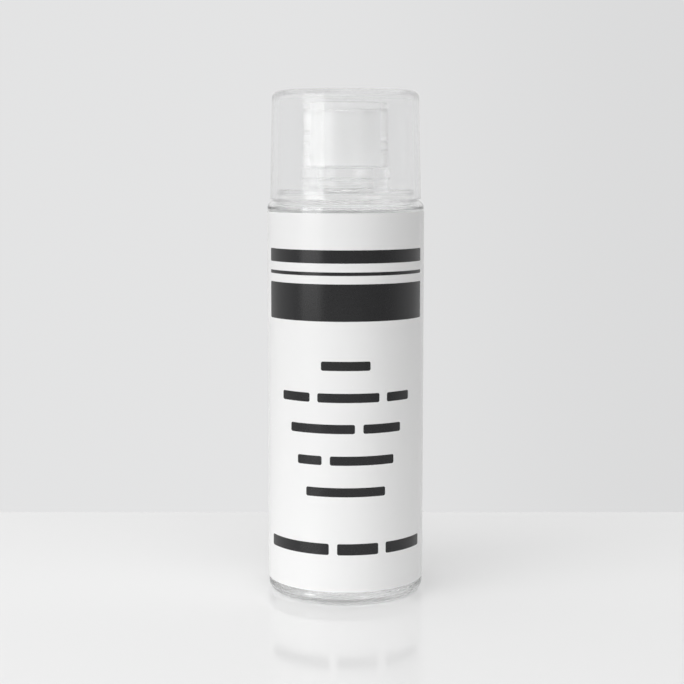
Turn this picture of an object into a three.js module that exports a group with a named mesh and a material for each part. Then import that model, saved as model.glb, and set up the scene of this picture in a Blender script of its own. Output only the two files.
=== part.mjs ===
// Clear cylindrical bottle for nail polish remover, with a wrap-round film label, a drip insert pressed
// into its neck, a lined screw cap and a clear overcap that stands on a step of the shoulder.
// Millimetres, +Z up. The origin is the centre of the foot, on the surface that the bottle stands on.

import * as THREE from 'three';

// Roundness of the revolved pieces
const WIDE_SIDES = 48;
const NARROW_SIDES = 40;
const ARC_CHORD = 0.8;

// Bottle body
const BODY_RADIUS = 20.85;
const BODY_WALL = 1.2;
const BASE_WALL = 1.5;
const BASE_CORNER = 2.4;
const BASE_INNER_CORNER = 1.6;
const FOOT_INNER_RADIUS = 15.2;
const FOOT_EDGE = 0.8;
const PUSH_UP_RADIUS = 9.5;
const PUSH_UP_HEIGHT = 2.2;
const PUSH_UP_ROUND = 5.0;

// Shoulder: an outer ledge under the overcap's rim and a raised step that its bore grips
const LEDGE_HEIGHT = 105.6;
const SHOULDER_ROUND = 2.1;
const SHOULDER_WALL = 1.6;
const SHOULDER_INNER_ROUND = 1.0;
const STEP_RADIUS = 18.25;
const STEP_RISE = 2.9;
const STEP_FOOT_ROUND = 0.3;
const STEP_EDGE_ROUND = 0.6;
const STEP_INNER_ROUND = 0.7;

// Neck: its root, the bead that stops the cap, the band that the thread fills, and the bore
const NECK_ROOT_RADIUS = 11.4;
const NECK_ROOT_ROUND = 1.2;
const BEAD_RADIUS = 12.0;
const BEAD_RISE = 3.0;
const BEAD_THICKNESS = 2.45;
const BEAD_EDGE_ROUND = 0.3;
const NECK_RADIUS = 8.9;
const NECK_LENGTH = 13.75;
const NECK_LIP_ROUND = 0.4;
const THREAD_DEPTH = 0.95;
const THREAD_START = 1.6;
const THREAD_BAND = 10.8;
const BORE_RADIUS = 7.6;
const BORE_ENTRY_ROUND = 1.5;

// Film label
const LABEL_THICKNESS = 0.1;
const LABEL_GLUE = 0.05;
const LABEL_BOTTOM = 3.8;
const LABEL_HEIGHT = 98.7;
const LABEL_SEAM = 1.6;
const LABEL_ARC_STEPS = 36;

// Liquid
const LIQUID_FILM = 0.1;

// Drip insert: a cup with a flange on the neck's lip and one hole in its floor
const SEAT_GAP = 0.1;
const INSERT_FLANGE_RADIUS = 8.6;
const INSERT_FLANGE = 0.7;
const INSERT_CLEARANCE = 0.1;
const INSERT_WALL = 1.1;
const INSERT_DEPTH = 7.8;
const INSERT_FLOOR = 1.2;
const INSERT_LEAD_IN = 0.8;
const INSERT_CORNER = 1.0;
const DRIP_HOLE_RADIUS = 1.1;

// Screw cap and the foam wad inside it
const WAD_THICKNESS = 0.9;
const WAD_CLEARANCE = 0.15;
const CAP_THREAD_CLEARANCE = 0.2;
const CAP_PANEL = 1.4;
const CAP_INNER_ROUND = 0.4;
const CAP_MOUTH_CHAMFER = 0.4;
const CAP_BEAD_GAP = 0.35;
const CAP_FOOT_RADIUS = 11.35;
const CAP_TOP_RADIUS = 11.2;
const CAP_EDGE_ROUND = 0.35;
const CAP_GROOVE_BELOW_TOP = 1.8;
const CAP_GROOVE_WIDTH = 0.7;
const CAP_GROOVE_DEPTH = 0.25;

// Overcap
const OVERCAP_FIT = 0.2;
const OVERCAP_WALL = 1.7;
const OVERCAP_DRAFT = 0.65;
const OVERCAP_PANEL = 1.6;
const OVERCAP_HEADROOM = 1.65;
const OVERCAP_EDGE_ROUND = 2.0;
const OVERCAP_INNER_ROUND = 1.2;
const OVERCAP_RIM_ROUND = 0.4;
const OVERCAP_MOUTH_CHAMFER = 0.3;

// Heights that the pieces share, from the foot up
const stepTop = LEDGE_HEIGHT + STEP_RISE;
const beadBottom = stepTop + BEAD_RISE;
const beadTop = beadBottom + BEAD_THICKNESS;
const neckTop = beadTop + NECK_LENGTH;
const threadBottom = beadTop + THREAD_START;
const threadTop = threadBottom + THREAD_BAND;
const flangeBottom = neckTop + SEAT_GAP;
const flangeTop = flangeBottom + INSERT_FLANGE;
const wadBottom = flangeTop + SEAT_GAP;
const wadTop = wadBottom + WAD_THICKNESS;
const capCeiling = wadTop + SEAT_GAP;
const capTop = capCeiling + CAP_PANEL;
const capFoot = beadTop + CAP_BEAD_GAP;
const overcapCeiling = capTop + OVERCAP_HEADROOM;
const overcapTop = overcapCeiling + OVERCAP_PANEL;
const overcapFoot = LEDGE_HEIGHT + SEAT_GAP;

// Radii that fits share
const cavityRadius = BODY_RADIUS - BODY_WALL;
const threadRadius = NECK_RADIUS + THREAD_DEPTH;
const capBore = threadRadius + CAP_THREAD_CLEARANCE;
const overcapBore = STEP_RADIUS + OVERCAP_FIT;

// One corner of an outline: radius from the axis, height, and the rounding of the corner
function corner(radius, height, rounding = 0) {
  return { at: new THREE.Vector2(radius, height), rounding };
}

// The points of an outline, with an arc at each corner that has a rounding
function roundedOutline(corners) {
  const points = [];
  corners.forEach(({ at, rounding }, index) => {
    if (rounding === 0) {
      points.push(at.clone());
      return;
    }
    const back = corners[index - 1].at.clone().sub(at).normalize();
    const ahead = corners[index + 1].at.clone().sub(at).normalize();
    const halfAngle = Math.acos(back.dot(ahead)) / 2;
    const centre = back.clone().add(ahead).normalize().multiplyScalar(rounding / Math.sin(halfAngle)).add(at);
    const reach = rounding / Math.tan(halfAngle);
    const from = at.clone().addScaledVector(back, reach).sub(centre);
    const turnSign = Math.sign(ahead.cross(back));
    const turn = (Math.PI - 2 * halfAngle) * turnSign;
    const steps = Math.max(2, Math.round((Math.abs(turn) * rounding) / ARC_CHORD));
    for (let step = 0; step <= steps; step += 1) {
      points.push(from.clone().rotateAround(new THREE.Vector2(), (turn * step) / steps).add(centre));
    }
  });
  return points;
}

// A solid of revolution about Z. The outline runs up the outside and back down the inside.
function revolve(corners, sides) {
  const geometry = new THREE.LatheGeometry(roundedOutline(corners), sides);
  return geometry.rotateX(Math.PI / 2);
}

// The inside of the base, from the wall to the axis, raised off the glass by a film
function cavityFloor(film) {
  const floor = BASE_WALL + film;
  return [
    corner(cavityRadius - film, floor, BASE_INNER_CORNER),
    corner(FOOT_INNER_RADIUS, floor, FOOT_EDGE),
    corner(PUSH_UP_RADIUS, floor + PUSH_UP_HEIGHT, PUSH_UP_ROUND),
    corner(0, floor + PUSH_UP_HEIGHT),
  ];
}

function bottleGeometry() {
  const base = [
    corner(0, PUSH_UP_HEIGHT),
    corner(PUSH_UP_RADIUS, PUSH_UP_HEIGHT, PUSH_UP_ROUND),
    corner(FOOT_INNER_RADIUS, 0, FOOT_EDGE),
    corner(BODY_RADIUS, 0, BASE_CORNER),
  ];
  const shoulder = [
    corner(BODY_RADIUS, LEDGE_HEIGHT, SHOULDER_ROUND),
    corner(STEP_RADIUS, LEDGE_HEIGHT, STEP_FOOT_ROUND),
    corner(STEP_RADIUS, stepTop, STEP_EDGE_ROUND),
  ];
  const beadSlope = BEAD_RADIUS - NECK_ROOT_RADIUS;
  const neck = [
    corner(NECK_ROOT_RADIUS, stepTop, NECK_ROOT_ROUND),
    corner(NECK_ROOT_RADIUS, beadBottom - beadSlope),
    corner(BEAD_RADIUS, beadBottom),
    corner(BEAD_RADIUS, beadTop, BEAD_EDGE_ROUND),
    corner(NECK_RADIUS, beadTop),
    corner(NECK_RADIUS, threadBottom - THREAD_DEPTH),
    corner(threadRadius, threadBottom),
    corner(threadRadius, threadTop - THREAD_DEPTH),
    corner(NECK_RADIUS, threadTop),
    corner(NECK_RADIUS, neckTop, NECK_LIP_ROUND),
    corner(BORE_RADIUS, neckTop, NECK_LIP_ROUND),
  ];
  const stepCeiling = stepTop - SHOULDER_WALL;
  const ledgeCeiling = LEDGE_HEIGHT - SHOULDER_WALL;
  const stepCavity = STEP_RADIUS - SHOULDER_WALL;
  const cavity = [
    corner(BORE_RADIUS, stepCeiling, BORE_ENTRY_ROUND),
    corner(stepCavity, stepCeiling, STEP_INNER_ROUND),
    corner(stepCavity, ledgeCeiling, STEP_INNER_ROUND),
    corner(cavityRadius, ledgeCeiling, SHOULDER_INNER_ROUND),
    ...cavityFloor(0),
  ];
  return revolve([...base, ...shoulder, ...neck, ...cavity], WIDE_SIDES);
}

// A sleeve of film whose two edges leave a narrow open seam at the back
function labelGeometry() {
  const inner = BODY_RADIUS + LABEL_GLUE;
  const outer = inner + LABEL_THICKNESS;
  const halfSeam = LABEL_SEAM / 2 / outer;
  const back = Math.PI / 2;
  const from = back + halfSeam;
  const to = back - halfSeam + 2 * Math.PI;
  const section = new THREE.Shape();
  section.absarc(0, 0, outer, from, to, false);
  section.absarc(0, 0, inner, to, from, true);
  const options = { depth: LABEL_HEIGHT, bevelEnabled: false, curveSegments: LABEL_ARC_STEPS };
  return new THREE.ExtrudeGeometry(section, options).translate(0, 0, LABEL_BOTTOM);
}

// The fill, up to where the inside of the wall starts to turn in at the shoulder
function liquidGeometry() {
  const level = LEDGE_HEIGHT - SHOULDER_WALL - SHOULDER_INNER_ROUND;
  const surface = [corner(cavityRadius - LIQUID_FILM, level), corner(0, level)];
  return revolve([...cavityFloor(LIQUID_FILM).reverse(), ...surface], WIDE_SIDES);
}

function insertGeometry() {
  const outer = BORE_RADIUS - INSERT_CLEARANCE;
  const inner = outer - INSERT_WALL;
  const bottom = flangeTop - INSERT_DEPTH - INSERT_FLOOR;
  const floor = bottom + INSERT_FLOOR;
  const start = corner(DRIP_HOLE_RADIUS, bottom);
  const outline = [
    start,
    corner(outer - INSERT_LEAD_IN, bottom),
    corner(outer, bottom + INSERT_LEAD_IN),
    corner(outer, flangeBottom),
    corner(INSERT_FLANGE_RADIUS, flangeBottom),
    corner(INSERT_FLANGE_RADIUS, flangeTop),
    corner(inner, flangeTop),
    corner(inner, floor, INSERT_CORNER),
    corner(DRIP_HOLE_RADIUS, floor),
    start,
  ];
  return revolve(outline, NARROW_SIDES);
}

function wadGeometry() {
  const radius = capBore - WAD_CLEARANCE;
  const outline = [corner(0, wadBottom), corner(radius, wadBottom), corner(radius, wadTop), corner(0, wadTop)];
  return revolve(outline, NARROW_SIDES);
}

function screwCapGeometry() {
  const grooveTop = capTop - CAP_GROOVE_BELOW_TOP;
  const grooveBottom = grooveTop - CAP_GROOVE_WIDTH;
  const grooveFloor = CAP_TOP_RADIUS - CAP_GROOVE_DEPTH;
  const outline = [
    corner(0, capCeiling),
    corner(capBore, capCeiling, CAP_INNER_ROUND),
    corner(capBore, capFoot + CAP_MOUTH_CHAMFER),
    corner(capBore + CAP_MOUTH_CHAMFER, capFoot),
    corner(CAP_FOOT_RADIUS, capFoot, CAP_EDGE_ROUND),
    corner(CAP_TOP_RADIUS, grooveBottom),
    corner(grooveFloor, grooveBottom + CAP_GROOVE_DEPTH),
    corner(grooveFloor, grooveTop - CAP_GROOVE_DEPTH),
    corner(CAP_TOP_RADIUS, grooveTop),
    corner(CAP_TOP_RADIUS, capTop, CAP_EDGE_ROUND),
    corner(0, capTop),
  ];
  return revolve(outline, NARROW_SIDES);
}

// The wall leans in towards the top, so that the moulded shell can leave its mould
function overcapGeometry() {
  const outerFoot = overcapBore + OVERCAP_WALL;
  const outerTop = outerFoot - OVERCAP_DRAFT;
  const innerTop = overcapBore - OVERCAP_DRAFT;
  const outline = [
    corner(0, overcapCeiling),
    corner(innerTop, overcapCeiling, OVERCAP_INNER_ROUND),
    corner(overcapBore, stepTop),
    corner(overcapBore, overcapFoot + OVERCAP_MOUTH_CHAMFER),
    corner(overcapBore + OVERCAP_MOUTH_CHAMFER, overcapFoot),
    corner(outerFoot, overcapFoot, OVERCAP_RIM_ROUND),
    corner(outerTop, overcapTop, OVERCAP_EDGE_ROUND),
    corner(0, overcapTop),
  ];
  return revolve(outline, WIDE_SIDES);
}

function piece(name, geometry, look) {
  const mesh = new THREE.Mesh(geometry, new THREE.MeshStandardMaterial({ metalness: 0, ...look }));
  mesh.name = name;
  return mesh;
}

const clearPlastic = { color: 0xe9ecee, roughness: 0.05, transparent: true, opacity: 0.35 };
const naturalPlastic = { color: 0xe4e7e8, roughness: 0.25, transparent: true, opacity: 0.5 };

const bottle = new THREE.Group();
bottle.add(
  piece('bottle', bottleGeometry(), clearPlastic),
  piece('label', labelGeometry(), { color: 0xf2f2f0, roughness: 0.2 }),
  piece('remover_liquid', liquidGeometry(), { color: 0xf4f6f7, roughness: 0.02, transparent: true, opacity: 0.2 }),
  piece('orifice_reducer', insertGeometry(), { ...naturalPlastic, color: 0xf0f1ef }),
);

const closure = new THREE.Group();
closure.add(
  piece('cap_liner', wadGeometry(), { color: 0xf6f6f4, roughness: 0.85 }),
  piece('screw_cap', screwCapGeometry(), naturalPlastic),
  piece('overcap', overcapGeometry(), clearPlastic),
);

const assembly = new THREE.Group();
assembly.add(bottle, closure);

export default assembly;
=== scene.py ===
import math

import bmesh
import bpy
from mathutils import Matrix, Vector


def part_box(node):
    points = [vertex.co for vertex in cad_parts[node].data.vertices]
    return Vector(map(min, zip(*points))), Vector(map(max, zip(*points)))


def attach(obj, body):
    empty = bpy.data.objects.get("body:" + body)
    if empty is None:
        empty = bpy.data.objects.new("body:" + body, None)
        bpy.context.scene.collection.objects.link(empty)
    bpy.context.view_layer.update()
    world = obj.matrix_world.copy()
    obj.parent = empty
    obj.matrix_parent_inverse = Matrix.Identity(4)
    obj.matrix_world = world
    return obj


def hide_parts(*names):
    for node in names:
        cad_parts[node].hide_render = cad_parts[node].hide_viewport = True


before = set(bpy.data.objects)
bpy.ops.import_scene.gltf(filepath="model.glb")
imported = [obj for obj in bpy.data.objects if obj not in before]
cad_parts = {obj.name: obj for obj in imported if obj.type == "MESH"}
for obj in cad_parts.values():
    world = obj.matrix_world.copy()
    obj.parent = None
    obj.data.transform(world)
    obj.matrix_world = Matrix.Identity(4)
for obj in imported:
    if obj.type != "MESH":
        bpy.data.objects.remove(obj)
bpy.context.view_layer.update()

# Lengths are in metres
MM = 0.001
TAU = 2 * math.pi

# Meshes
SIDES = 192
ARC_STEP = math.radians(9)
LEAST_ARC_STEPS = 3
SHARP_ANGLE = math.radians(32)
ON_AXIS = 1e-9
SAME_RADIUS = 0.01 * MM

# Boxes of the solids that the pieces below stand for
bottle_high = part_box("bottle")[1]
label_low, label_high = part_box("label")
liquid_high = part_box("remover_liquid")[1]
insert_low, insert_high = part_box("orifice_reducer")
wad_low, wad_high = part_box("cap_liner")
cap_low, cap_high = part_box("screw_cap")
overcap_low, overcap_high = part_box("overcap")

# Bottle
BODY_RADIUS = bottle_high[0]
NECK_TOP = bottle_high[2]
BODY_WALL = 1.2 * MM
BASE_WALL = 1.5 * MM
BASE_CORNER = 2.4 * MM
BASE_INNER_CORNER = 1.6 * MM
FOOT_INNER_RADIUS = 15.2 * MM
FOOT_EDGE = 0.8 * MM
PUSH_UP_RADIUS = 9.5 * MM
PUSH_UP_HEIGHT = 2.2 * MM
PUSH_UP_ROUND = 5.0 * MM
LEDGE_HEIGHT = 105.6 * MM
SHOULDER_ROUND = 2.1 * MM
SHOULDER_WALL = 1.0 * MM
SHOULDER_INNER_ROUND = 1.0 * MM
STEP_RADIUS = 18.25 * MM
STEP_TOP = 108.5 * MM
STEP_FOOT_ROUND = 0.3 * MM
STEP_EDGE_ROUND = 0.6 * MM
STEP_INNER_ROUND = 0.7 * MM
NECK_ROOT_RADIUS = 11.4 * MM
NECK_ROOT_ROUND = 1.2 * MM
BEAD_RADIUS = 12.0 * MM
BEAD_BOTTOM = 111.5 * MM
BEAD_TOP = 113.95 * MM
BEAD_EDGE_ROUND = 0.3 * MM
NECK_RADIUS = 8.9 * MM
NECK_LIP_ROUND = 0.4 * MM
BORE_RADIUS = 7.6 * MM
BORE_ENTRY_ROUND = 1.5 * MM
CAVITY_RADIUS = BODY_RADIUS - BODY_WALL

# Thread on the neck, and the one inside the screw cap that runs between its turns
THREAD_PITCH = 3.0 * MM
THREAD_ROW = 0.12 * MM
THREAD_LEAD = 0.14
NECK_THREAD = {
    "start": 117.0 * MM,
    "turns": 2.9,
    "height": 0.9 * MM,
    "crest": 0.6 * MM,
    "flank": 0.5 * MM,
}
CAP_THREAD = {
    "start": 115.5 * MM,
    "turns": 2.9,
    "height": 0.75 * MM,
    "crest": 0.4 * MM,
    "flank": 0.4 * MM,
}

# Fill, and its rim where it climbs the wall
LIQUID_LAP = 0.02 * MM
MENISCUS_RISE = 0.65 * MM
MENISCUS_REACH = 1.4 * MM
MENISCUS_STEPS = 8

# Screw cap
CAP_BORE = 10.05 * MM
CAP_PANEL = 1.4 * MM
CAP_MOUTH_CHAMFER = 0.4 * MM
CAP_TOP_RADIUS = 11.2 * MM
CAP_EDGE_ROUND = 0.35 * MM
CAP_INNER_ROUND = 0.4 * MM
CAP_GROOVE_BELOW_TOP = 1.8 * MM
CAP_GROOVE_WIDTH = 0.7 * MM
CAP_GROOVE_DEPTH = 0.25 * MM

# Overcap
OVERCAP_BORE = 18.45 * MM
OVERCAP_DRAFT = 0.65 * MM
OVERCAP_PANEL = 1.6 * MM
OVERCAP_EDGE_ROUND = 2.0 * MM
OVERCAP_INNER_ROUND = 1.2 * MM
OVERCAP_RIM_ROUND = 0.4 * MM
OVERCAP_MOUTH_CHAMFER = 0.3 * MM
GATE_RADIUS = 2.0 * MM
GATE_DEPTH = 0.2 * MM
GATE_ROUND = 0.08 * MM

# Drip insert
INSERT_OUTER = 7.5 * MM
INSERT_WALL = 1.1 * MM
INSERT_FLANGE = 0.7 * MM
INSERT_FLOOR = 1.2 * MM
INSERT_LEAD_IN = 0.8 * MM
INSERT_CORNER = 1.0 * MM
INSERT_MOUTH_ROUND = 0.5 * MM
DRIP_HOLE_RADIUS = 1.1 * MM

# Small edges of the cap, the overcap's mouth, the insert and the wad
SMALL_ROUND = 0.15 * MM

# Label film
FILM_PROUD = 0.015 * MM
FILM_THICKNESS = 0.05 * MM
FILM_LAP = 4.0 * MM
FILM_LAP_GAP = 0.004 * MM
FILM_RAMP = 1.5 * MM
FILM_COLUMNS = 384
SEAM_ANGLE = math.pi / 2

# Print on the film, centred on the front. A row is its height, thickness and bar lengths in millimetres.
INK_PROUD = 0.008 * MM
INK_COLUMN = 0.35 * MM
INK_LEAST_COLUMNS = 8
INK_CORNER = 0.5 * MM
INK_CORNER_STEPS = 6
INK_GAP = 2.2 * MM
FRONT_ANGLE = -math.pi / 2
PRINT_ROWS = [
    (91.4, 3.4, [51.0]),
    (87.0, 0.9, [51.0]),
    (79.6, 9.6, [51.0]),
    (63.3, 2.4, [13.0]),
    (55.0, 2.4, [9.0, 16.5, 7.5]),
    (46.9, 2.4, [18.0, 11.0]),
    (38.6, 2.4, [7.0, 17.5]),
    (30.3, 2.4, [21.5]),
    (15.2, 3.0, [20.0, 11.0, 13.5]),
]

# Clear plastics: their tint, refraction, share that isn't milky, range of roughness and waviness
CLEAR_BODY = {
    "base": (0.998, 0.998, 0.998),
    "ior": 1.47,
    "clarity": 1.0,
    "roughness": (0.0, 0.03),
    "wave": 0.003,
}
CLEAR_SHELL = {
    "base": (0.974, 0.975, 0.975),
    "ior": 1.5,
    "clarity": 1.0,
    "roughness": (0.08, 0.12),
    "wave": 0.005,
}
NATURAL_CAP = {
    "base": (0.999, 0.999, 0.999),
    "ior": 1.49,
    "clarity": 0.73,
    "roughness": (0.03, 0.05),
    "wave": 0.01,
}
SOFT_NATURAL = {
    "base": (0.995, 0.995, 0.995),
    "ior": 1.5,
    "clarity": 0.9,
    "roughness": (0.2, 0.3),
    "wave": 0.05,
}
RIPPLE_SCALE = 70
RIPPLE_DETAIL = 1
RIPPLE_STRETCH = (1, 1, 0.35)
RIPPLE_DEPTH = 0.2 * MM
HAZE_SCALE = 900
HAZE_DETAIL = 3

# Other materials of the bottle
FILM_COLOUR = (0.91, 0.91, 0.908)
FILM_IOR = 1.47
FILM_ROUGHNESS = (0.2, 0.3)
FILM_SHOW_THROUGH = 0.08
PEEL_SCALE = 1400
PEEL_DETAIL = 2
PEEL_STRENGTH = 0.08
PEEL_DEPTH = 0.02 * MM
INK_COLOUR = (0.012, 0.012, 0.013)
INK_DARKEST = (0.008, 0.008, 0.009, 1)
INK_PALEST = (0.018, 0.018, 0.019, 1)
INK_IOR = 1.47
INK_ROUGHNESS = (0.18, 0.3)
INK_GRAIN_SCALE = 2600
INK_GRAIN_DETAIL = 2
FOAM_COLOUR = (0.88, 0.88, 0.87)
FOAM_ROUGHNESS = 0.8
FOAM_CELL_SCALE = 3200
FOAM_CELL_STRENGTH = 0.35
FOAM_CELL_DEPTH = 0.08 * MM
LIQUID_COLOUR = (0.998, 0.999, 0.999)
LIQUID_IOR = 1.41

# Table top
FLOOR_HALF_WIDTH = 0.22
FLOOR_FRONT = -0.9
FLOOR_BACK = 0.0916
FLOOR_LEVEL = -0.05 * MM
FLOOR_COLOUR = (0.865, 0.865, 0.865)
FLOOR_IOR = 1.4
FLOOR_ROUGHNESS = (0.09, 0.15)
FLOOR_GRAIN_SCALE = 60
FLOOR_GRAIN_DETAIL = 3

# Camera, from the photograph's outline
IMAGE_SIDE = 684
FOCAL_PIXELS = 1555.0
SENSOR_WIDTH = 36.0
CAMERA_AT = (-0.96 * MM, -417.0 * MM, 114.2 * MM)
CAMERA_TILT = math.radians(6.42)
CAMERA_NEAR = 0.01

# Light of the world: each glow has a direction, and the cosines between which it fades
WHITE = (1, 1, 1, 1)
SKY_CENTRE = (-0.16, -0.59, 0.79)
SKY_EDGE = 0.42
SKY_CORE = 1.0
SKY_LOW = 0.03
SKY_HIGH = 1.64
BEHIND = (0, 1, 0)
BACK_EDGE = -0.05
BACK_CORE = 0.3
BACK_LIGHT = 0.64
ROOM_EDGE = -0.6
ROOM_CORE = 0.2
ROOM_FRONT = 0.45
BACKDROP_TINT = (0.998, 1.0, 1.004, 1)
BACKDROP_SIDE = (-1, 0, 0)
BACKDROP_EDGE = -0.215
BACKDROP_CORE = 0.05
BACKDROP_LEFT = 0.772
BACKDROP_RIGHT = 0.71
THROUGH_LIGHT = 1.3

# Soft box, to the left of the camera
SOFT_BOX_AZIMUTH = math.radians(51)
SOFT_BOX_DISTANCE = 0.6
SOFT_BOX_HEIGHT = 0.24
SOFT_BOX_TARGET = (0, 0, 0.09)
SOFT_BOX_SIZE = (0.37, 0.45)
SOFT_BOX_RADIANCE = 1.8

# Light bounces, enough for the walls that lie behind each other
CLEAR_BOUNCES = 128
MATT_BOUNCES = 64


def rounded(corners):
    """Points (radius, height) of an outline given as (radius, height, rounding) corners."""
    points = []
    for index, (radius, height, rounding) in enumerate(corners):
        if rounding == 0:
            points.append((radius, height))
            continue
        before, after = corners[index - 1], corners[index + 1]
        back = math.atan2(before[1] - height, before[0] - radius)
        ahead = math.atan2(after[1] - height, after[0] - radius)
        opening = (ahead - back + math.pi) % TAU - math.pi
        half = abs(opening) / 2
        middle = back + opening / 2
        reach = rounding / math.sin(half)
        centre = (radius + reach * math.cos(middle), height + reach * math.sin(middle))
        turn = math.copysign(math.pi - 2 * half, -opening)
        first = back + math.copysign(math.pi / 2, -opening)
        steps = max(LEAST_ARC_STEPS, math.ceil(abs(turn) / ARC_STEP))
        for step in range(steps + 1):
            angle = first + turn * step / steps
            points.append((centre[0] + rounding * math.cos(angle), centre[1] + rounding * math.sin(angle)))
    return points


def smooth(value):
    """An S-curve from 0 to 1."""
    value = min(1.0, max(0.0, value))
    return value * value * (3 - 2 * value)


def ridge(angle, height, thread):
    """How far a helical ridge stands out at this angle and height."""
    best = 0.0
    half = thread["crest"] / 2 + thread["flank"]
    for lap in range(math.ceil(thread["turns"]) + 1):
        turns = angle / TAU + lap
        if turns > thread["turns"]:
            continue
        off = abs(height - thread["start"] - THREAD_PITCH * turns)
        fade = smooth(min(turns, thread["turns"] - turns) / THREAD_LEAD)
        best = max(best, thread["height"] * fade * smooth((half - off) / thread["flank"]))
    return best


def threaded(wall, thread, outward):
    """The shape of a wall of this radius with a thread on it, for revolve. outward is 1 or -1."""
    def radius_at(angle, radius, height):
        if abs(radius - wall) > SAME_RADIUS:
            return radius
        return radius + outward * ridge(angle, height, thread)

    return radius_at


def wall_rows(radius, low, high):
    """Points up a straight wall, close enough together to carry a thread."""
    count = math.ceil(abs(high - low) / THREAD_ROW)
    return [(radius, low + (high - low) * step / count) for step in range(count + 1)]


def finish_mesh(name, builder):
    """A smooth-shaded object from a bmesh, with its normals facing out."""
    bmesh.ops.recalc_face_normals(builder, faces=builder.faces)
    mesh = bpy.data.meshes.new(name)
    builder.to_mesh(mesh)
    builder.free()
    mesh.polygons.foreach_set("use_smooth", [True] * len(mesh.polygons))
    mesh.set_sharp_from_angle(angle=SHARP_ANGLE)
    piece = bpy.data.objects.new(name, mesh)
    bpy.context.scene.collection.objects.link(piece)
    return piece


def revolve(name, outline, radius_at=None, closed=False):
    """A solid of revolution about Z, whose surface radius_at(angle, radius, height) may move in or out."""
    builder = bmesh.new()
    rings = []
    for radius, height in outline:
        if radius < ON_AXIS:
            rings.append([builder.verts.new((0, 0, height))])
            continue
        ring = []
        for side in range(SIDES):
            angle = TAU * side / SIDES
            here = radius_at(angle, radius, height) if radius_at else radius
            ring.append(builder.verts.new((here * math.cos(angle), here * math.sin(angle), height)))
        rings.append(ring)
    pairs = list(zip(rings, rings[1:]))
    if closed:
        pairs.append((rings[-1], rings[0]))
    for low, high in pairs:
        for side in range(SIDES):
            following = (side + 1) % SIDES
            corners = [low[side % len(low)], low[following % len(low)]]
            corners += [high[following % len(high)], high[side % len(high)]]
            builder.faces.new(dict.fromkeys(corners))
    return finish_mesh(name, builder)


def floor_corners(grow):
    """The inside of the base, from the wall to the axis, grown into the plastic by this much."""
    floor = BASE_WALL - grow
    return [
        (CAVITY_RADIUS + grow, floor, BASE_INNER_CORNER),
        (FOOT_INNER_RADIUS, floor, FOOT_EDGE),
        (PUSH_UP_RADIUS, floor + PUSH_UP_HEIGHT, PUSH_UP_ROUND),
        (0, floor + PUSH_UP_HEIGHT, 0),
    ]


def make_bottle():
    """The wall of the bottle: its outside up to the thread, then the lip and the inside down to the base."""
    outside = [
        (0, PUSH_UP_HEIGHT, 0),
        (PUSH_UP_RADIUS, PUSH_UP_HEIGHT, PUSH_UP_ROUND),
        (FOOT_INNER_RADIUS, 0, FOOT_EDGE),
        (BODY_RADIUS, 0, BASE_CORNER),
        (BODY_RADIUS, LEDGE_HEIGHT, SHOULDER_ROUND),
        (STEP_RADIUS, LEDGE_HEIGHT, STEP_FOOT_ROUND),
        (STEP_RADIUS, STEP_TOP, STEP_EDGE_ROUND),
        (NECK_ROOT_RADIUS, STEP_TOP, NECK_ROOT_ROUND),
        (NECK_ROOT_RADIUS, BEAD_BOTTOM - (BEAD_RADIUS - NECK_ROOT_RADIUS), BEAD_EDGE_ROUND),
        (BEAD_RADIUS, BEAD_BOTTOM, BEAD_EDGE_ROUND),
        (BEAD_RADIUS, BEAD_TOP, BEAD_EDGE_ROUND),
        (NECK_RADIUS, BEAD_TOP, BEAD_EDGE_ROUND),
        (NECK_RADIUS, NECK_TOP, 0),
    ]
    inside = [
        (NECK_RADIUS, BEAD_TOP, 0),
        (NECK_RADIUS, NECK_TOP, NECK_LIP_ROUND),
        (BORE_RADIUS, NECK_TOP, NECK_LIP_ROUND),
        (BORE_RADIUS, STEP_TOP - SHOULDER_WALL, BORE_ENTRY_ROUND),
        (STEP_RADIUS - SHOULDER_WALL, STEP_TOP - SHOULDER_WALL, STEP_INNER_ROUND),
        (STEP_RADIUS - SHOULDER_WALL, LEDGE_HEIGHT - SHOULDER_WALL, STEP_INNER_ROUND),
        (CAVITY_RADIUS, LEDGE_HEIGHT - SHOULDER_WALL, SHOULDER_INNER_ROUND),
        *floor_corners(0),
    ]
    first_part = rounded(outside)[:-1]
    last_part = rounded(inside)[1:]
    neck = wall_rows(NECK_RADIUS, first_part[-1][1], last_part[0][1])[1:-1]
    return revolve("bottle_clear", first_part + neck + last_part, threaded(NECK_RADIUS, NECK_THREAD, 1))


def make_liquid():
    """The fill laps a hair into the wall, so that no air shows between them, and its rim climbs the wall."""
    level = liquid_high[2]
    wall = CAVITY_RADIUS + LIQUID_LAP
    outline = rounded(floor_corners(LIQUID_LAP)[::-1] + [(wall, level, 0)])
    for step in range(MENISCUS_STEPS + 1):
        share = step / MENISCUS_STEPS
        outline.append((wall - MENISCUS_REACH * share, level + MENISCUS_RISE * (1 - share) ** 2))
    outline.append((0, level))
    return revolve("liquid_fill", outline)


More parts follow.
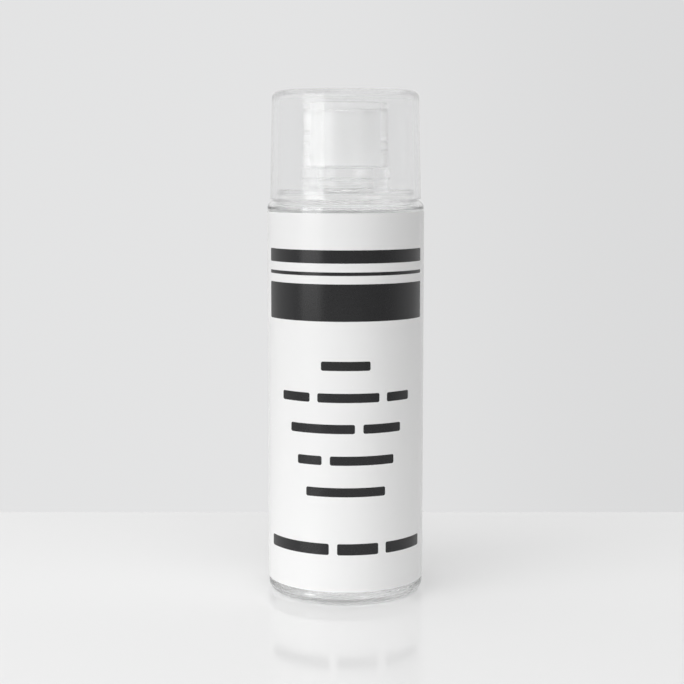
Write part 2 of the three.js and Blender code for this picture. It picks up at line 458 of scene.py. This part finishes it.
def make_overcap():
    """A shell with a leaning wall, a rounded top edge and a gate dimple in the middle of its top."""
    outer_foot = overcap_high[0]
    top = overcap_high[2]
    foot = overcap_low[2]
    ceiling = top - OVERCAP_PANEL
    outline = [
        (0, ceiling, 0),
        (OVERCAP_BORE - OVERCAP_DRAFT, ceiling, OVERCAP_INNER_ROUND),
        (OVERCAP_BORE, STEP_TOP, 0),
        (OVERCAP_BORE, foot + OVERCAP_MOUTH_CHAMFER, SMALL_ROUND),
        (OVERCAP_BORE + OVERCAP_MOUTH_CHAMFER, foot, SMALL_ROUND),
        (outer_foot, foot, OVERCAP_RIM_ROUND),
        (outer_foot - OVERCAP_DRAFT, top, OVERCAP_EDGE_ROUND),
        (GATE_RADIUS, top, GATE_ROUND),
        (GATE_RADIUS - GATE_DEPTH, top - GATE_DEPTH, GATE_ROUND),
        (0, top - GATE_DEPTH, 0),
    ]
    return revolve("overcap_clear", rounded(outline))


def make_screw_cap():
    """A cap with a thread inside and a groove below its top."""
    top = cap_high[2]
    foot = cap_low[2]
    ceiling = top - CAP_PANEL
    groove_top = top - CAP_GROOVE_BELOW_TOP
    groove_bottom = groove_top - CAP_GROOVE_WIDTH
    groove_floor = CAP_TOP_RADIUS - CAP_GROOVE_DEPTH
    inside = [(0, ceiling, 0), (CAP_BORE, ceiling, CAP_INNER_ROUND), (CAP_BORE, foot, 0)]
    outside = [
        (CAP_BORE, ceiling, 0),
        (CAP_BORE, foot + CAP_MOUTH_CHAMFER, SMALL_ROUND),
        (CAP_BORE + CAP_MOUTH_CHAMFER, foot, SMALL_ROUND),
        (cap_high[0], foot, CAP_EDGE_ROUND),
        (CAP_TOP_RADIUS, groove_bottom, SMALL_ROUND),
        (groove_floor, groove_bottom + CAP_GROOVE_DEPTH, SMALL_ROUND),
        (groove_floor, groove_top - CAP_GROOVE_DEPTH, SMALL_ROUND),
        (CAP_TOP_RADIUS, groove_top, SMALL_ROUND),
        (CAP_TOP_RADIUS, top, CAP_EDGE_ROUND),
        (0, top, 0),
    ]
    first_part = rounded(inside)[:-1]
    last_part = rounded(outside)[1:]
    bore = wall_rows(CAP_BORE, first_part[-1][1], last_part[0][1])[1:-1]
    return revolve("screw_cap_natural", first_part + bore + last_part, threaded(CAP_BORE, CAP_THREAD, -1))


def make_insert():
    """A cup with a flange on the neck's lip and a drip hole in its floor."""
    top = insert_high[2]
    bottom = insert_low[2]
    inner = INSERT_OUTER - INSERT_WALL
    flange = insert_high[0]
    floor = bottom + INSERT_FLOOR
    outline = [
        (DRIP_HOLE_RADIUS, (bottom + floor) / 2, 0),
        (DRIP_HOLE_RADIUS, bottom, SMALL_ROUND),
        (INSERT_OUTER - INSERT_LEAD_IN, bottom, SMALL_ROUND),
        (INSERT_OUTER, bottom + INSERT_LEAD_IN, SMALL_ROUND),
        (INSERT_OUTER, top - INSERT_FLANGE, SMALL_ROUND),
        (flange, top - INSERT_FLANGE, SMALL_ROUND),
        (flange, top, SMALL_ROUND),
        (inner, top, INSERT_MOUTH_ROUND),
        (inner, floor, INSERT_CORNER),
        (DRIP_HOLE_RADIUS, floor, SMALL_ROUND),
        (DRIP_HOLE_RADIUS, (bottom + floor) / 2, 0),
    ]
    return revolve("drip_insert", rounded(outline)[:-1], closed=True)


def make_wad():
    """A foam disc."""
    radius = wad_high[0]
    low, high = wad_low[2], wad_high[2]
    outline = [(0, low, 0), (radius, low, SMALL_ROUND), (radius, high, SMALL_ROUND), (0, high, 0)]
    return revolve("foam_wad", rounded(outline))


def make_label():
    """A wrap of film whose start is tucked under its end, in a lapped seam at the back."""
    outer = label_high[0] - FILM_PROUD
    low, high = label_low[2], label_high[2]
    tuck = FILM_THICKNESS + FILM_LAP_GAP
    length = TAU * outer + FILM_LAP
    begin = SEAM_ANGLE - FILM_LAP / 2 / outer
    builder = bmesh.new()
    columns = []
    for column in range(FILM_COLUMNS + 1):
        place = length * column / FILM_COLUMNS
        angle = begin + place / outer
        across, along = math.cos(angle), math.sin(angle)
        face = outer - tuck * (1 - smooth((place - FILM_LAP) / FILM_RAMP))
        back = face - FILM_THICKNESS
        section = [(back, low), (face, low), (face, high), (back, high)]
        columns.append([builder.verts.new((r * across, r * along, z)) for r, z in section])
    for here, there in zip(columns, columns[1:]):
        for edge in range(len(here)):
            following = (edge + 1) % len(here)
            builder.faces.new((here[edge], there[edge], there[following], here[following]))
    builder.faces.new(columns[0])
    builder.faces.new(columns[-1])
    return finish_mesh("label_film", builder)


def add_bar(builder, middle, height, length, thickness, radius):
    """A printed bar with rounded corners, laid on the film round the point (middle, height)."""
    corner = min(INK_CORNER, thickness / 2)
    count = max(INK_LEAST_COLUMNS, math.ceil(length / INK_COLUMN))
    places = [length * step / count for step in range(count + 1)]
    turns = [math.pi / 2 * step / INK_CORNER_STEPS for step in range(1, INK_CORNER_STEPS)]
    bends = [corner * (1 - math.cos(turn)) for turn in turns]
    places += bends + [length - bend for bend in bends]
    columns = []
    for place in sorted(places):
        short = max(0.0, corner - min(place, length - place))
        drop = corner - math.sqrt(max(0.0, corner ** 2 - short ** 2))
        angle = (middle - length / 2 + place) / radius + FRONT_ANGLE
        reach = thickness / 2 - drop
        point = (radius * math.cos(angle), radius * math.sin(angle))
        low = builder.verts.new((*point, height - reach))
        high = builder.verts.new((*point, height + reach))
        columns.append((low, high))
    for here, there in zip(columns, columns[1:]):
        builder.faces.new((here[0], there[0], there[1], here[1]))


def make_print():
    """Rows of plain bars, the third of them thick enough to be a panel."""
    radius = label_high[0] - FILM_PROUD + INK_PROUD
    builder = bmesh.new()
    for height, thickness, lengths in PRINT_ROWS:
        place = -(sum(lengths) * MM + INK_GAP * (len(lengths) - 1)) / 2
        for length in lengths:
            add_bar(builder, place + length * MM / 2, height * MM, length * MM, thickness * MM, radius)
            place += length * MM + INK_GAP
    return finish_mesh("label_print", builder)


def new_material(name, base, roughness, **inputs):
    """A principled material, and the nodes that its functions go on to link."""
    material = bpy.data.materials.new(name)
    material.use_nodes = True
    nodes = material.node_tree.nodes
    shader = nodes["Principled BSDF"]
    shader.inputs["Base Color"].default_value = (*base, 1)
    shader.inputs["Roughness"].default_value = roughness
    for key, value in inputs.items():
        shader.inputs[key.replace("_", " ")].default_value = value
    return material, nodes, material.node_tree.links, shader


def add_noise(nodes, links, scale, detail, stretch=(1, 1, 1)):
    """Noise in the object's own coordinates, in features per metre."""
    where = nodes.new("ShaderNodeTexCoord")
    mapping = nodes.new("ShaderNodeMapping")
    mapping.inputs["Scale"].default_value = stretch
    noise = nodes.new("ShaderNodeTexNoise")
    noise.inputs["Scale"].default_value = scale
    noise.inputs["Detail"].default_value = detail
    links.new(where.outputs["Object"], mapping.inputs["Vector"])
    links.new(mapping.outputs["Vector"], noise.inputs["Vector"])
    return noise.outputs["Fac"]


def add_bump(nodes, links, shader, height, strength, distance):
    """Makes a height pattern the relief of a material."""
    bump = nodes.new("ShaderNodeBump")
    bump.inputs["Strength"].default_value = strength
    bump.inputs["Distance"].default_value = distance
    links.new(height, bump.inputs["Height"])
    links.new(bump.outputs["Normal"], shader.inputs["Normal"])


def vary_roughness(nodes, links, shader, pattern, limits):
    """Lets a pattern move the roughness of a material between its limits."""
    spread = nodes.new("ShaderNodeMapRange")
    spread.inputs["To Min"].default_value = limits[0]
    spread.inputs["To Max"].default_value = limits[1]
    links.new(pattern, spread.inputs["Value"])
    links.new(spread.outputs["Result"], shader.inputs["Roughness"])


def mix_shaders(nodes, links, share, first, second):
    """The first shader, with this share of it replaced by the second."""
    mix = nodes.new("ShaderNodeMixShader")
    links.new(share, mix.inputs["Fac"])
    links.new(first, mix.inputs[1])
    links.new(second, mix.inputs[2])
    return mix.outputs["Shader"]


def clear_plastic(name, base, ior, clarity, roughness, wave):
    """Clear moulded plastic with the slight waviness of its mould. What clarity leaves over is milky."""
    material, nodes, links, shader = new_material(
        name, base, roughness[0], Transmission_Weight=clarity, IOR=ior
    )
    ripple = add_noise(nodes, links, RIPPLE_SCALE, RIPPLE_DETAIL, RIPPLE_STRETCH)
    add_bump(nodes, links, shader, ripple, wave, RIPPLE_DEPTH)
    haze = add_noise(nodes, links, HAZE_SCALE, HAZE_DETAIL)
    vary_roughness(nodes, links, shader, haze, roughness)
    return material


def film_material():
    """Glossy white film with a faint orange-peel surface, thin enough to let some light through."""
    material, nodes, links, shader = new_material(
        "glossy_film", FILM_COLOUR, FILM_ROUGHNESS[0], IOR=FILM_IOR
    )
    peel = add_noise(nodes, links, PEEL_SCALE, PEEL_DETAIL)
    add_bump(nodes, links, shader, peel, PEEL_STRENGTH, PEEL_DEPTH)
    vary_roughness(nodes, links, shader, peel, FILM_ROUGHNESS)
    through = nodes.new("ShaderNodeBsdfTranslucent")
    through.inputs["Color"].default_value = (*FILM_COLOUR, 1)
    # Light that has entered the film meets the back of a face, and all of it passes out there
    face = nodes.new("ShaderNodeNewGeometry")
    share = nodes.new("ShaderNodeMath")
    share.operation = "MAXIMUM"
    share.inputs[1].default_value = FILM_SHOW_THROUGH
    links.new(face.outputs["Backfacing"], share.inputs[0])
    thin = mix_shaders(nodes, links, share.outputs[0], shader.outputs["BSDF"], through.outputs["BSDF"])
    links.new(thin, nodes["Material Output"].inputs["Surface"])
    return material


def ink_material():
    """Black ink, a little more matt here and thinner there."""
    material, nodes, links, shader = new_material(
        "black_ink", INK_COLOUR, INK_ROUGHNESS[0], IOR=INK_IOR
    )
    grain = add_noise(nodes, links, INK_GRAIN_SCALE, INK_GRAIN_DETAIL)
    vary_roughness(nodes, links, shader, grain, INK_ROUGHNESS)
    tone = nodes.new("ShaderNodeValToRGB")
    tone.color_ramp.elements[0].color = INK_DARKEST
    tone.color_ramp.elements[1].color = INK_PALEST
    links.new(grain, tone.inputs["Fac"])
    links.new(tone.outputs["Color"], shader.inputs["Base Color"])
    return material


def foam_material():
    """White closed-cell foam."""
    material, nodes, links, shader = new_material("white_foam", FOAM_COLOUR, FOAM_ROUGHNESS)
    where = nodes.new("ShaderNodeTexCoord")
    cells = nodes.new("ShaderNodeTexVoronoi")
    cells.inputs["Scale"].default_value = FOAM_CELL_SCALE
    links.new(where.outputs["Object"], cells.inputs["Vector"])
    add_bump(nodes, links, shader, cells.outputs["Distance"], FOAM_CELL_STRENGTH, FOAM_CELL_DEPTH)
    return material


def liquid_material():
    """Clear liquid, even all through."""
    return new_material("clear_liquid", LIQUID_COLOUR, 0.0, Transmission_Weight=1.0, IOR=LIQUID_IOR)[0]


def dress(piece, material, body, node=None):
    """Gives a piece its material and its body, and hides the solid that it stands for."""
    piece.data.materials.append(material)
    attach(piece, body)
    if node:
        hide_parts(node)


def add_glow(nodes, links, centre, edge, core, low, high):
    """A strength that rises from low to high as a direction nears centre, between two cosines."""
    where = nodes.new("ShaderNodeTexCoord")
    facing = nodes.new("ShaderNodeVectorMath")
    facing.operation = "DOT_PRODUCT"
    facing.inputs[1].default_value = centre
    links.new(where.outputs["Generated"], facing.inputs[0])
    fade = nodes.new("ShaderNodeMapRange")
    fade.interpolation_type = "SMOOTHSTEP"
    fade.inputs["From Min"].default_value = edge
    fade.inputs["From Max"].default_value = core
    fade.inputs["To Min"].default_value = low
    fade.inputs["To Max"].default_value = high
    links.new(facing.outputs["Value"], fade.inputs["Value"])
    return fade.outputs["Result"]


def add_math(nodes, links, operation, first, second):
    """The result of one operation on two values."""
    result = nodes.new("ShaderNodeMath")
    result.operation = operation
    links.new(first, result.inputs[0])
    links.new(second, result.inputs[1])
    return result.outputs[0]


def add_background(nodes, links, colour, strength):
    """A world colour of this strength."""
    background = nodes.new("ShaderNodeBackground")
    background.inputs["Color"].default_value = colour
    links.new(strength, background.inputs["Strength"])
    return background.outputs["Background"]


def add_backdrop(nodes, links, path):
    """The pale backdrop, a little darker to the right, and brighter to matt pieces behind clear plastic."""
    fall_off = add_glow(
        nodes, links, BACKDROP_SIDE, BACKDROP_EDGE, BACKDROP_CORE, BACKDROP_RIGHT, BACKDROP_LEFT
    )
    matt = nodes.new("ShaderNodeMapRange")
    matt.inputs["To Min"].default_value = 1.0
    matt.inputs["To Max"].default_value = THROUGH_LIGHT
    links.new(path.outputs["Diffuse Depth"], matt.inputs["Value"])
    strength = add_math(nodes, links, "MULTIPLY", fall_off, matt.outputs["Result"])
    return add_background(nodes, links, BACKDROP_TINT, strength)


def make_world():
    """Soft light from overhead, in front and behind.

    Gloss sees a room that is dimmer in front, and the camera and clear plastic see the backdrop.
    """
    world = bpy.data.worlds.new("studio")
    bpy.context.scene.world = world
    world.use_nodes = True
    nodes, links = world.node_tree.nodes, world.node_tree.links
    light = nodes["Background"]
    light.inputs["Color"].default_value = WHITE
    sky = add_glow(nodes, links, SKY_CENTRE, SKY_EDGE, SKY_CORE, SKY_LOW, SKY_HIGH)
    back = add_glow(nodes, links, BEHIND, BACK_EDGE, BACK_CORE, 0.0, BACK_LIGHT)
    links.new(add_math(nodes, links, "ADD", sky, back), light.inputs["Strength"])
    room_glow = add_glow(nodes, links, BEHIND, ROOM_EDGE, ROOM_CORE, ROOM_FRONT, BACKDROP_LEFT)
    room = add_background(nodes, links, WHITE, room_glow)
    path = nodes.new("ShaderNodeLightPath")
    backdrop = add_backdrop(nodes, links, path)
    gloss = mix_shaders(nodes, links, path.outputs["Is Glossy Ray"], light.outputs["Background"], room)
    camera, clear = path.outputs["Is Camera Ray"], path.outputs["Is Transmission Ray"]
    seen = add_math(nodes, links, "MAXIMUM", camera, clear)
    view = mix_shaders(nodes, links, seen, gloss, backdrop)
    links.new(view, nodes["World Output"].inputs["Surface"])


def make_floor():
    """A pale glossy table top that ends a hand's width behind the bottle."""
    mesh = bpy.data.meshes.new("floor")
    corners = [
        (-FLOOR_HALF_WIDTH, FLOOR_FRONT, FLOOR_LEVEL),
        (FLOOR_HALF_WIDTH, FLOOR_FRONT, FLOOR_LEVEL),
        (FLOOR_HALF_WIDTH, FLOOR_BACK, FLOOR_LEVEL),
        (-FLOOR_HALF_WIDTH, FLOOR_BACK, FLOOR_LEVEL),
    ]
    mesh.from_pydata(corners, [], [(0, 1, 2, 3)])
    floor = bpy.data.objects.new("floor", mesh)
    bpy.context.scene.collection.objects.link(floor)
    material, nodes, links, shader = new_material(
        "table_top", FLOOR_COLOUR, FLOOR_ROUGHNESS[0], IOR=FLOOR_IOR
    )
    grain = add_noise(nodes, links, FLOOR_GRAIN_SCALE, FLOOR_GRAIN_DETAIL)
    vary_roughness(nodes, links, shader, grain, FLOOR_ROUGHNESS)
    mesh.materials.append(material)


def make_camera():
    """The photograph's camera, looking along +Y and a little down."""
    lens = bpy.data.cameras.new("camera")
    lens.sensor_width = SENSOR_WIDTH
    lens.lens = FOCAL_PIXELS * SENSOR_WIDTH / IMAGE_SIDE
    lens.clip_start = CAMERA_NEAR
    camera = bpy.data.objects.new("camera", lens)
    camera.location = CAMERA_AT
    camera.rotation_euler = (math.pi / 2 - CAMERA_TILT, 0, 0)
    bpy.context.scene.collection.objects.link(camera)
    bpy.context.scene.camera = camera


def make_soft_box():
    """A rectangular lamp that faces the bottle."""
    width, height = SOFT_BOX_SIZE
    lamp = bpy.data.lights.new("soft_box", "AREA")
    lamp.shape = "RECTANGLE"
    lamp.size = width
    lamp.size_y = height
    lamp.energy = SOFT_BOX_RADIANCE * math.pi * width * height
    box = bpy.data.objects.new("soft_box", lamp)
    box.location = (
        -SOFT_BOX_DISTANCE * math.sin(SOFT_BOX_AZIMUTH),
        -SOFT_BOX_DISTANCE * math.cos(SOFT_BOX_AZIMUTH),
        SOFT_BOX_HEIGHT,
    )
    across, along, up = [there - here for here, there in zip(box.location, SOFT_BOX_TARGET)]
    pitch = math.atan2(-up, math.hypot(across, along))
    heading = math.atan2(along, across)
    box.rotation_euler = (math.pi / 2 - pitch, 0, heading - math.pi / 2)
    bpy.context.scene.collection.objects.link(box)


def set_render():
    """Plain colours, and light paths long and sharp enough for clear walls behind each other."""
    scene = bpy.context.scene
    scene.view_settings.view_transform = "Standard"
    scene.cycles.blur_glossy = 0.0
    scene.cycles.max_bounces = CLEAR_BOUNCES
    scene.cycles.transmission_bounces = CLEAR_BOUNCES
    scene.cycles.diffuse_bounces = MATT_BOUNCES
    scene.cycles.glossy_bounces = MATT_BOUNCES


clear_body = clear_plastic("clear_body_plastic", **CLEAR_BODY)
clear_shell = clear_plastic("clear_overcap_plastic", **CLEAR_SHELL)
natural = clear_plastic("natural_cap_plastic", **NATURAL_CAP)
soft_natural = clear_plastic("insert_plastic", **SOFT_NATURAL)

dress(make_bottle(), clear_body, "bottle", "bottle")
dress(make_liquid(), liquid_material(), "bottle", "remover_liquid")
dress(make_label(), film_material(), "bottle", "label")
dress(make_print(), ink_material(), "bottle")
dress(make_insert(), soft_natural, "bottle", "orifice_reducer")
dress(make_wad(), foam_material(), "liner", "cap_liner")
dress(make_screw_cap(), natural, "cap", "screw_cap")
dress(make_overcap(), clear_shell, "overcap", "overcap")

make_world()
make_floor()
make_camera()
make_soft_box()
set_render()
